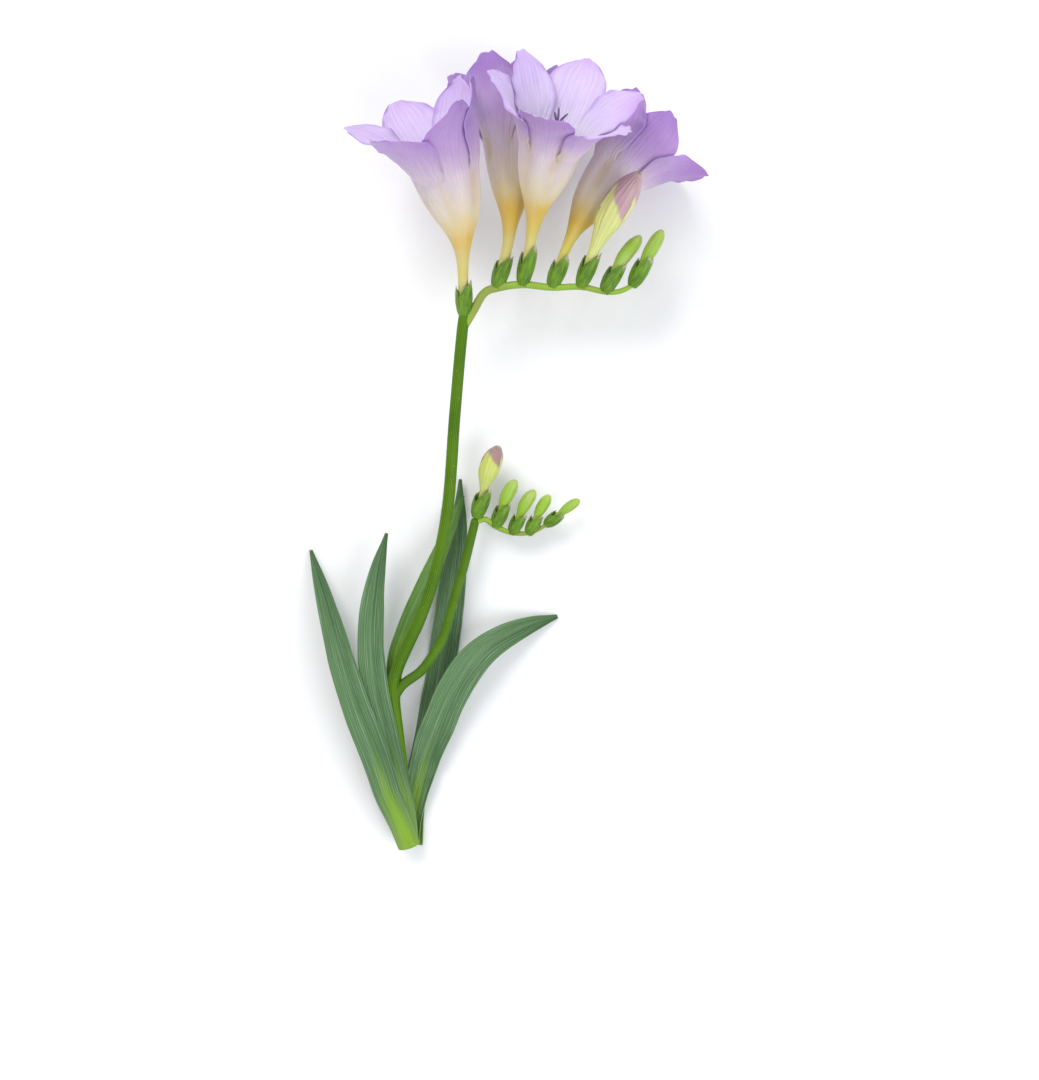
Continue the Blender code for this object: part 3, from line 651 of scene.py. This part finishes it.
def makeBloom(name, node, floret, others, seed, material):
    draw = random.Random(seed)
    size, mouth, spin = floret["size"], floret["mouth"], radians(floret["spin"])
    spine = floretSpine(floret, size)
    throatAt = petalForm["tubeLength"] * size * mm
    throat, axis, normal, side = spine.at(throatAt)
    centre = spine.at(petalForm["mouthAt"] * size * mm)[0]
    length = petalForm["tepalLength"] * size * mm
    whole = petalForm["tubeLength"] + petalForm["tepalLength"]
    openings = {}
    tepals = [{"wave": draw.uniform(0.7, 1.3), "phase": draw.uniform(0, 6.3), "tilt": draw.uniform(-0.5, 0.5),
               "long": draw.uniform(0.95, 1.0), "keel": draw.uniform(0.4, 0.9), "frill": draw.uniform(0.5, 1.4)}
              for _ in range(6)]

    def tubeRadius(distance):
        wide = smooth((distance / size / mm - 14) / 26)
        return readSmooth(petalForm["tubeRadii"], distance / size / mm) * mm * size * (1 + (mouth - 1) * wide)

    def tubePoint(u, v):
        distance = throatAt * v
        point, _, above, across = spine.at(distance)
        angle = pi * u + spin
        # six shallow folds run up the funnel, one below each notch
        fold = 1 + petalForm["fold"] * cos(6 * pi * u) * smooth((v - 0.42) / 0.4)
        return point + around(above, across, angle) * tubeRadius(distance) * fold

    def tubeMark(u, v):
        share = (u * 3) % 1.0
        across = abs(share if share < 0.5 else share - 1) * 2
        return v * petalForm["tubeLength"] / whole, across, 0, 0

    def opening(angle):
        # evened out over its surroundings, so that no tepal is creased
        key = round(angle, 3)
        if key not in openings:
            found = []
            for turn in petalForm["openingAround"]:
                heading = around(normal, side, angle + turn)
                reach = reachTowards(heading, centre, axis, floret, others)
                found.append(openingFor(reach, tubeRadius(throatAt), length))
            openings[key] = sum(found) / len(found)
        return openings[key]

    def marginRipple(shape, u, v):
        # the frill of a tepal's edge: waves of three lengths, strongest at the very margin
        start = shape["phase"] + (1.7 if u > 0 else 0)
        waves = sin(13 * v + 3 * start) + 0.7 * sin(27 * v + 5 * start) + 0.4 * sin(45 * v + start)
        return petalForm["crinkle"] * shape["frill"] * waves * abs(u) ** 4

    def tepalPoint(k, u, v):
        shape = tepals[k]
        middle = pi / 3 * k + spin
        layer = 1 if k % 2 else -1
        fold = 1 + petalForm["fold"] * cos(pi * u) * (1 - smooth(v / 0.3))
        ring = tubeRadius(throatAt) * fold
        out, _ = runOut(length, opening(middle), v)
        half = readSmooth(petalForm["halfWidths"], v) * mm * size / (ring + out)
        half *= 1 + petalForm["edgeWobble"] * sin(17 * v + 2 * shape["phase"]) * smooth(v / 0.5)
        closed = pi / 6 * (1 + petalForm["overlap"] * smooth(v / 0.08)) * (1 - 0.8 * smooth((v - 0.1) / 0.25))
        half = min(max(half, closed), petalForm["widestShare"]) if v > 0 else pi / 6
        angle = middle + u * half
        here = v * (shape["long"] if k % 2 == 0 else 1) * (1 - petalForm["roundTip"] * u * u * v * v)
        ragged = sin(7 * u + shape["phase"]) + 0.5 * sin(14 * u + 2 * shape["phase"])
        here *= 1 + petalForm["raggedTip"] * ragged * smooth((v - 0.6) / 0.4)
        slope = opening(angle)
        out, on = runOut(length, slope, here)
        tilt = petalForm["throatSlope"] + (slope - petalForm["throatSlope"]) * here
        radial = around(normal, side, angle)
        outward = radial * cos(tilt) - axis * sin(tilt)
        free = smooth((v - 0.2) / 0.5) * (1 - 0.8 * smooth((v - 0.78) / 0.2))
        shift = layer * petalForm["layerShift"] * smooth(v / 0.2)
        shift += petalForm["wave"] * shape["wave"] * sin(6.5 * v + shape["phase"] + 1.2 * u) * u * u * free
        shift += marginRipple(shape, u, v) * free
        shift += petalForm["tipFlutter"] * sin(8 * u + shape["phase"]) * smooth((v - 0.8) / 0.2)
        shift += shape["tilt"] * u * smooth((v - 0.2) / 0.5) * petalForm["tilt"]
        shift += shape["keel"] * (1 - abs(u)) ** 2 * smooth(v / 0.4) * (0.6 if layer > 0 else -0.2)
        point = throat + radial * (ring + out) + axis * on + outward * shift * mm
        point.z = max(point.z, (petalForm["lift"] + (1 - layer) * petalForm["layerShift"]) * mm)
        return point

    def tepalMark(k, u, v):
        return (petalForm["tubeLength"] + v * petalForm["tepalLength"]) / whole, abs(u), 0, k / 6

    work = bmesh.new()
    columns = petalForm["columns"]
    addGrid(work, 6 * columns, petalForm["tubeRows"], tubePoint, tubeMark)
    for k in range(6):
        addGrid(work, columns, petalForm["tepalRows"], lambda u, v: tepalPoint(k, u, v),
                lambda u, v: tepalMark(k, u, v))

    def outward(point):
        spots = (spine.at(throatAt * share / 8)[0] for share in range(12))
        return point - min(spots, key=lambda spot: (spot - point).length)

    solid = thicken(work, petalForm["thickness"], outward)
    piece = linkMesh(name, solid, [material])
    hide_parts(node)


stamenForm = {"styleRadius": 0.42, "filamentRadius": 0.3, "antherRadius": 0.72, "stigmaRadius": 0.34}


def makeStamens(name, node, floret):
    size = floret["size"]
    spine = floretSpine(floret, size)

    def line(stations):
        found = []
        for distance, out, angle in stations:
            point, _, above, across = spine.at(distance * mm * size)
            found.append(point + around(above, across, angle) * out * mm)
        return Spine(curveThrough(found, 24))

    def rounded(spineOf, radius, count=16, belly=0.0):
        whole = spineOf.lengths[-1] / mm
        found = [(0, 0)]
        for i in range(count + 1):
            share = i / count
            tip = min(1, 6 * share + 0.3, 6 * (1 - share) + 0.3)
            found.append((whole * (0.01 + 0.98 * share), radius * tip * (1 + belly * sin(pi * share))))
        found.append((whole, 0))
        return found

    pale, dark = bmesh.new(), bmesh.new()
    style = line([(0.5, 0, 0), (20, 0, 0), (38, 0.1, 0), (56.5, 0.3, 0)])
    sweep(pale, style, rounded(style, stamenForm["styleRadius"]), 10)
    for k in range(3):
        angle = 2 * pi / 3 * k + 0.3
        filament = line([(23, 0, angle), (34, 1.2, angle), (45.5, 2.6, angle), (48, 2.8, angle)])
        sweep(pale, filament, rounded(filament, stamenForm["filamentRadius"]), 8)
        branch = line([(56, 0.1, angle + 1), (59, 1.3, angle + 1), (62, 3.2, angle + 1.1)])
        sweep(dark, branch, rounded(branch, stamenForm["stigmaRadius"], belly=0.5), 8)
        anther = line([(47, 2.8, angle), (50.5, 3.05, angle), (54.5, 3.15, angle), (58, 2.9, angle)])
        sweep(dark, anther, rounded(anther, stamenForm["antherRadius"], 18),
              12, lambda a, d: 1 - 0.28 * abs(cos(a)) ** 6)
    for suffix, work, material in (("filaments", pale, filamentMaterial), ("anthers", dark, antherMaterial)):
        piece = finishMesh(name + "_" + suffix, work, [material])
        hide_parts(node)


blooms = [floret for floret in mainFlorets if "mouth" in floret]
for i, floret in enumerate(blooms, 1):
    others = [other for other in blooms if other is not floret]
    # the last bloom lies in shade under the others and takes the copy with painted light
    material = shadeLiftedPetalMaterial if i == len(blooms) else petalMaterial
    makeBloom(f"fine_bloom_{i}", f"bloom_{i}", floret, others, 40 + i, material)
    makeStamens(f"fine_stamens_{i}", f"stamens_{i}", floret)
print("blooms and stamens made")


# Buds: three tepals wrapped round each other, so that each shows a seam that winds a little

budForm = {
    "rows": 44, "columns": 60,
    "large": {"seamStep": 0.10, "seamTwist": 0.35, "crease": 0.03,
              "outline": ((0, 0.3), (0.12, 0.32), (0.22, 0.36), (0.34, 0.52), (0.5, 0.88), (0.62, 1.0),
                          (0.76, 0.98), (0.87, 0.80), (0.95, 0.52), (1, 0.2))},
    "small": {"seamStep": 0.05, "seamTwist": 0.5, "crease": 0.012,
              "outline": ((0, 0.5), (0.12, 0.52), (0.22, 0.58), (0.34, 0.78), (0.48, 0.95), (0.62, 1.0),
                          (0.78, 0.97), (0.9, 0.78), (0.96, 0.54), (1, 0.22))},
}


def makeBud(name, node, floret, material):
    length, widest = floret["bud"]
    form = budForm["large" if length > 24 else "small"]
    spine = floretSpine(floret, length / 46)
    profile = [(0, 0)]
    for i in range(budForm["rows"] + 1):
        share = i / budForm["rows"]
        profile.append((length * (0.004 + 0.99 * share), widest * readSmooth(form["outline"], share)))
    profile.append((length, 0))

    def wrapped(angle, distance):
        # how far round its tepal a point is: three tepals wrap each other
        return (3 * (angle + 0.6) / (2 * pi) + form["seamTwist"] * distance / length) % 1.0

    def seams(angle, distance):
        # each tepal stands proud at one edge and dips under the next
        share = distance / length
        turned = wrapped(angle, distance)
        step = turned - 0.5 if turned < 0.95 else (1 - turned) / 0.05 * 0.95 - 0.5
        crease = form["crease"] * sin(9 * angle + 7 * share) * sin(pi * share)
        return 1 + (form["seamStep"] * step + crease) * smooth((share - 0.25) / 0.25)

    work = bmesh.new()
    sweep(work, spine, profile, budForm["columns"], seams, wrapped)
    piece = finishMesh(name, work, [material])
    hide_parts(node)


buds = [floret for floret in mainFlorets if "bud" in floret]
for i, floret in enumerate(buds, 1):
    makeBud(f"fine_bud_{i}", f"bud_{i}", floret, largeBudMaterial if i == 1 else smallBudMaterial)
for i, floret in enumerate(sideFlorets, 1):
    makeBud(f"fine_side_bud_{i}", f"side_bud_{i}", floret, sideBudMaterial if i == 1 else smallBudMaterial)
print("buds made")


# Stem, rachises and side branch

stemForms = {
    "main_stem": {
        "line": ((0, 0, 5.4), (-2, 18.4, 7.6), (-4.5, 42.9, 10.7), (-6.5, 63.3, 13.6), (-4.9, 72.7, 15.0),
                 (-0.4, 83, 16.6), (5.3, 95.5, 18.4), (11, 112.8, 20.8), (16.2, 139.2, 24.4),
                 (19.1, 174.7, 29.0), (22, 206, 32.8), (23.4, 216.4, 33.8)),
        "radii": (2.7, 2.3), "swell": (63.8, 0.16), "skin": "stem",
    },
    "main_rachis": {
        "line": ((22.8, 210.5, 33.0), (27.0, 217.3, 33.8), (31, 223.9, 33.6), (36, 226, 33.0),
                 (46.2, 227.2, 34.2), (58, 226.2, 33.0), (69.4, 226.4, 33.4), (79, 224.6, 32.0),
                 (85, 224.8, 31.6), (90.2, 227.2, 31.4)),
        "radii": (1.9, 1.0), "skin": "rachis",
    },
    "side_branch": {
        "line": ((-7, 60, 13.4), (-2.6, 66.6, 14.0), (4.5, 71.8, 13.4), (9, 77.6, 12.9), (13.1, 84.3, 12.6),
                 (16, 92.9, 12.4), (18.8, 103.3, 12.4), (22.3, 114.7, 12.4), (25.2, 126.1, 12.4),
                 (27.2, 134.6, 12.6)),
        "radii": (2.1, 1.8), "skin": "stem",
    },
    "side_rachis": {
        "line": ((26.9, 133.2, 12.4), (31.4, 134.2, 12.2), (35.4, 131.2, 11.8), (42.2, 128.6, 11.4),
                 (49, 128.6, 10.6), (53.9, 130.6, 10.2), (56.4, 132.2, 10.0)),
        "radii": (1.3, 0.8), "skin": "rachis",
    },
}


def makeStem(name, form):
    points = [place(*p) for p in form["line"]]
    spine = Spine(curveThrough(points, 12 * (len(points) - 1)))
    whole = spine.lengths[-1] / mm
    first, last = form["radii"]
    swellAt, swell = form.get("swell", (0, 0))
    profile = [(0.0, 0), (0.0, first * 0.5), (0.0, first * 0.92), (0.25, first)]
    rows = int(whole / 1.6)
    for i in range(1, rows + 1):
        distance = whole * i / (rows + 1)
        radius = first + (last - first) * distance / whole
        profile.append((distance, radius * (1 + swell * exp(-((distance - swellAt) / 2.6) ** 2))))
    profile += [(whole - 0.2, last * 0.9), (whole, 0)]

    def ridges(angle, distance):
        rough = noise.noise(Vector((distance * 0.12, angle, 3)))
        return 1 + 0.022 * cos(3 * angle + 0.01 * distance) + 0.012 * rough

    work = bmesh.new()
    sweep(work, spine, profile, 20, ridges)
    skin = stemMaterial if form["skin"] == "stem" else rachisMaterial
    piece = finishMesh(name, work, [skin, pithMaterial])
    if name == "main_stem":
        for face in piece.data.polygons:
            if face.center.y < -cutToRest * mm + 0.1 * mm:
                face.material_index = 1
    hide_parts("stem")


for name, form in stemForms.items():
    makeStem(name, form)
print("stem made")


# Bracts: two boat-shaped valves and the ovary they hold

bractForm = {
    "wraps": ((0, 115), (0.25, 114), (0.5, 102), (0.75, 74), (0.9, 44), (1, 12)),
    "radii": ((0, 1.7), (0.2, 2.8), (0.5, 3.35), (0.8, 3.4), (1, 3.15)),
    "columns": 16, "rows": 22, "thickness": 0.32, "innerShare": 0.9, "keel": 0.35, "teeth": 0.045,
    "mainLengths": (14.5, 14, 15.5, 13.5, 15, 13.5, 13.5), "sideLengths": (12.5, 11, 9.5, 9, 8.5),
}


def addBracts(work, ovaries, floret, length, draw):
    foot = place(*floret["foot"])
    axis = direction(*floret["bract"])
    spine = Spine([foot + axis * (i - 2) * 2 * mm for i in range(13)])
    ratio = 1.0 if length > 13 else 0.76 + 0.24 * (length - 8.5) / 4.0
    radius = 1.7 * min(1, ratio + 0.2)
    ovary = [(2.6, 0)] + [(2.6 + 5.2 * i / 12, radius * (0.25 + 0.75 * sin(pi * (0.1 + 0.8 * i / 12)) ** 0.6))
                          for i in range(13)] + [(7.8, 0)]
    sweep(ovaries, spine, ovary, 16)
    outer, inner = (0.35 * pi, 1.0, 1.0, 1.0), (1.35 * pi, 0.84, 0.9, bractForm["innerShare"])
    for facing, share, wrap, size in (outer, inner):
        jag = [draw.uniform(-1, 1) * bractForm["teeth"] for _ in range(bractForm["columns"] + 1)]
        lean = draw.uniform(-0.3, 0.3)
        slant = draw.uniform(-0.06, 0.06)
        split = draw.uniform(0.03, 0.12)

        def position(u, v):
            # the mouth is slanted and torn, with a shallow split at the tip
            rise = smooth((v - 0.55) / 0.45)
            torn = jag[round((u + 1) / 2 * bractForm["columns"])] + slant * u - split * exp(-(u / 0.22) ** 2)
            reached = 4 + (v + torn * rise) * length * share - 1.0
            point, _, above, across = spine.at(reached * mm)
            angle = facing + radians(readSmooth(bractForm["wraps"], v)) * wrap * u + lean * rise
            keel = bractForm["keel"] * (1 - abs(u)) ** 2 * sin(pi * min(1, v * 1.1))
            out = readSmooth(bractForm["radii"], v) * ratio * size + keel
            return point + around(above, across, angle) * out * mm

        addGrid(work, bractForm["columns"], bractForm["rows"], position)
    return spine


def makeBracts(name, florets, lengths, seed):
    draw = random.Random(seed)
    work, ovaries = bmesh.new(), bmesh.new()
    spines = [addBracts(work, ovaries, floret, length, draw) for floret, length in zip(florets, lengths)]

    def outward(point):
        def away(spine):
            foot = spine.points[0]
            axis = (spine.points[-1] - foot).normalized()
            return point - foot - axis * (point - foot).dot(axis)
        return min((away(spine) for spine in spines), key=lambda v: v.length)

    piece = linkMesh(name, thicken(work, bractForm["thickness"], outward), [bractMaterial])
    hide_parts("stem")
    under = finishMesh(name + "_ovaries", ovaries, [rachisMaterial])
    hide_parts("stem")


makeBracts("main_bracts", mainFlorets, bractForm["mainLengths"], 11)
makeBracts("side_bracts", sideFlorets, bractForm["sideLengths"], 12)
print("bracts made")


# Leaves: centre lines in mm, half widths, and the radius of the cross section along them

leafForms = {
    "leaf_left_front": {
        "side": 1, "rows": 72, "material": leafMaterial,
        "line": ((0, -1, 10.8), (-3.7, 10.2, 13.7), (-8.7, 22.4, 16.6), (-12.8, 36, 19.2),
                 (-21.6, 59.6, 21.0), (-26.8, 75.5, 19.2), (-34.2, 99.2, 11.2), (-41.6, 121.6, 0.9)),
        "halfWidths": ((0, 5.2), (0.15, 5.7), (0.4, 6.1), (0.65, 5.4), (0.85, 3.4), (0.95, 1.7), (1, 0.4)),
        "curl": ((0, 5.2), (0.085, 7), (0.18, 12), (0.3, 20), (1, 22)),
        "frill": (0.25, 0.3, 0.9), "fold": 0.9,
    },
    "leaf_left_inner": {
        "side": 1, "rows": 66, "material": leafMaterial,
        "line": ((0.2, 0, 9.25), (-1.9, 17, 11.7), (-5.8, 32, 14.8), (-9.8, 49, 16.7), (-13.2, 63, 17.4),
                 (-15.2, 78, 17.5), (-15.2, 95, 17.0), (-13.0, 112, 15.6), (-9.2, 128.6, 12.8)),
        "halfWidths": ((0, 4.3), (0.2, 4.8), (0.4, 5.1), (0.56, 5.7), (0.75, 5.2), (0.9, 3.0), (1, 0.4)),
        "curl": ((0, 3.75), (0.2, 4.3), (0.36, 8), (0.5, 20), (1, 20)),
        "frill": (0.25, 0.4, 0.9), "fold": 0.8,
    },
    "leaf_node": {
        "side": -1, "rows": 44, "material": nodeLeafMaterial,
        "line": ((-6.6, 66.6, 9.7), (-5.6, 77.6, 10.4), (-2, 88, 9.6), (2.9, 100, 8.6), (8.6, 112.2, 8.0),
                 (14.0, 124.5, 7.4), (18.2, 134.7, 6.8), (22.0, 144.0, 6.2)),
        "halfWidths": ((0, 3.4), (0.3, 3.8), (0.6, 3.7), (0.85, 2.2), (1, 0.4)),
        "curl": ((0, 4.1), (0.15, 4.8), (0.4, 14), (1, 16)),
        "frill": (0.12, 0.3, 0.9), "fold": 0.5,
    },
    "leaf_right_arching": {
        "side": -1, "rows": 66, "material": leafMaterial,
        "line": ((0.2, 0, 1.65), (0.3, 9, 1.7), (1.5, 17, 2.5), (5.4, 32.7, 4.4), (10.6, 46.9, 6.4),
                 (16.4, 60.6, 9.2), (22.6, 71.5, 11.0), (29.5, 79.6, 11.0), (38.5, 85.8, 8.6),
                 (49.5, 90.6, 4.4), (61, 94.0, 0.7)),
        "halfWidths": ((0, 4.2), (0.2, 5.3), (0.33, 6.6), (0.45, 6.9), (0.65, 6.9), (0.85, 4.6), (0.95, 2.4),
                       (1, 0.4)),
        "curl": ((0, 3.75), (0.08, 4.7), (0.15, 9), (0.3, 16), (0.5, 26), (1, 26)),
        "frill": (0.8, 0.12, 0.55), "fold": 0.6,
    },
    "leaf_right_back": {
        "side": -1, "rows": 76, "material": leafMaterial,
        "line": ((0.6, -1, 0.4), (0.9, 16, 0.4), (5.2, 34.7, 0.4), (8.8, 51, 0.4), (11.8, 67.3, 0.4),
                 (14.2, 83.7, 0.8), (16.4, 100, 1.4), (18.4, 116.3, 2.0), (20.0, 134, 2.6), (20.6, 151, 3.2)),
        "halfWidths": ((0, 5.0), (0.15, 5.4), (0.4, 6.2), (0.7, 5.8), (0.88, 3.6), (1, 0.4)),
        "curl": ((0, 5.1), (0.1, 9.0), (0.22, 24), (0.45, 40), (1, 40)),
        "frill": (0.3, 0.2, 0.9), "fold": 0.4,
    },
}
blade = {"thickness": 0.5, "pleat": 0.11, "columns": 34, "creaseWidth": 0.22, "edgeWobble": 0.05}


def makeLeaf(node, form):
    spine = Spine(curveThrough([place(*p) for p in form["line"]], 64), up * form["side"])
    whole = spine.lengths[-1]

    def position(u, v):
        middle, _, normal, side = spine.at(whole * v)
        curl = readSmooth(form["curl"], v) * mm
        angle = u * readSmooth(form["halfWidths"], v) * mm / curl
        strength, first, last = form["frill"]
        wavy = smooth((v - first) / 0.12) * smooth((last - v) / 0.15)
        angle *= 1 + blade["edgeWobble"] * strength * sin(33 * v + (2.0 if u > 0 else 0)) * wavy
        edge = strength * (sin(38 * v + 2.4 * u) + 0.6 * sin(71 * v + 1)) * abs(u) ** 3 * wavy
        folded = smooth((v - 0.15) / 0.2) * smooth((1 - v) / 0.1)
        crease = -form["fold"] * exp(-abs(u) / blade["creaseWidth"]) * folded + edge
        crease += blade["pleat"] * cos(5 * pi * u) * smooth(v / 0.15) * smooth((1 - v) / 0.2)
        point = middle + normal * (curl * (cos(angle) - 1) + crease * mm) + side * curl * sin(angle)
        point.z = max(point.z, (blade["thickness"] / 2 + 0.02) * mm)
        return point

    # the fourth mark tells the two halves apart, for the painted light on one half of the blade
    def mark(u, v):
        return v, abs(u), 0, (u * form["side"] + 1) / 2

    def outward(point):
        k = min(range(len(spine.points)), key=lambda i: (spine.points[i] - point).length)
        return spine.at(spine.lengths[k])[2]

    work = bmesh.new()
    addGrid(work, blade["columns"], form["rows"], position, mark)
    solid = thicken(work, blade["thickness"], outward)
    piece = linkMesh("fine_" + node, solid, [form["material"]])
    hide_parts(node)


for node, form in leafForms.items():
    makeLeaf(node, form)
print("leaves made")


# Floor, light and camera

stageForm = {"size": 6.0, "centre": (0.05, 0.12, -0.0002), "colour": (0.86, 0.86, 0.87, 1),
             "patch": (0.90, 0.90, 0.90, 1)}
work = bmesh.new()
bmesh.ops.create_grid(work, x_segments=1, y_segments=1, size=stageForm["size"] / 2)
floorMesh = bpy.data.meshes.new("floor")
work.to_mesh(floorMesh)
work.free()
floorMesh.transform(Matrix.Translation(stageForm["centre"]))
floor = addObject("floor", floorMesh)
floorMesh.materials.append(makePlainMaterial("paleFloor", stageForm["colour"], stageForm["patch"], 0.7, 4.0))


lightForms = {
    "windowLight": {"place": (-0.5, 1.0, 1.2), "size": 0.9, "power": 12.0, "colour": (1.0, 0.98, 0.95)},
    "fillLight": {"place": (0.9, -0.5, 1.1), "size": 1.2, "power": 11.0, "colour": (0.94, 0.97, 1.0)},
}
lightTarget = Vector((0.04, 0.15, 0.02))


def addSoftLight(name, form):
    light = bpy.data.lights.new(name, "AREA")
    light.shape = "DISK"
    light.size = form["size"]
    light.energy = form["power"]
    light.color = form["colour"]
    lamp = addObject(name, light)
    lamp.location = form["place"]
    lamp.rotation_euler = (lightTarget - Vector(form["place"])).to_track_quat("-Z", "Y").to_euler()


for name, form in lightForms.items():
    addSoftLight(name, form)

world = bpy.data.worlds.new("softRoom")
world.use_nodes = True
background = world.node_tree.nodes["Background"]
background.inputs["Color"].default_value = (0.95, 0.97, 1.0, 1)
background.inputs["Strength"].default_value = 0.76
bpy.context.scene.world = world
bpy.context.scene.view_settings.view_transform = "Standard"

cameraForm = {"place": (0.0451, 0.1177, 0.755), "lens": 60.5, "sensor": 36.0}
cameraData = bpy.data.cameras.new("camera")
cameraData.lens = cameraForm["lens"]
cameraData.sensor_width = cameraForm["sensor"]
cameraData.clip_start = 0.01
camera = addObject("camera", cameraData)
camera.location = cameraForm["place"]
bpy.context.scene.camera = camera
print("stage, lights and camera ready")
